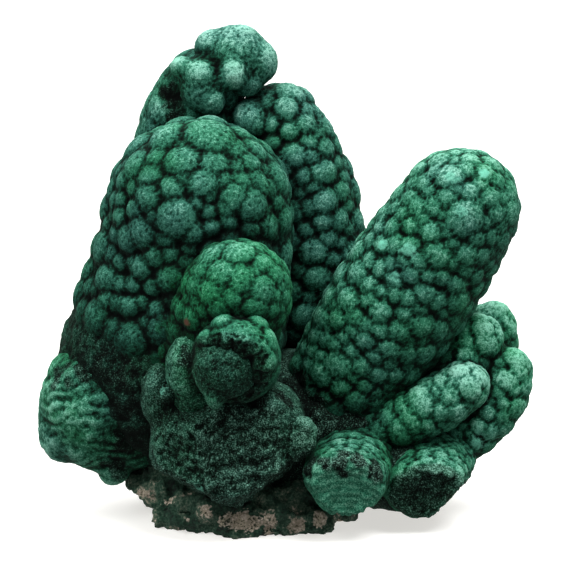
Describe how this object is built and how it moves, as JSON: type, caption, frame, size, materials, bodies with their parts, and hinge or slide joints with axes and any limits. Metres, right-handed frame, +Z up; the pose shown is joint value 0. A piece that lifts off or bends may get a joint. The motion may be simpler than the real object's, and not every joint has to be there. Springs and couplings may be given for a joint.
{
  "type": "malachite specimen",
  "caption": "Free-standing mineral specimen: knobbly green malachite columns and broken stubs grown together over a crust of host rock with a flat underside.",
  "frame": {"origin": "under the middle of the specimen's bounding box, on the surface that it stands on", "axes": "+Z up, +X to the right of the front view in the picture, +Y to the back"},
  "size_m": [0.1208, 0.0838, 0.1184],
  "materials": {
    "malachite": null,
    "host_rock": null
  },
  "bodies": {
    "root": {"malachite": "malachite", "host_rock": "host_rock"}
  },
  "joints": []
}
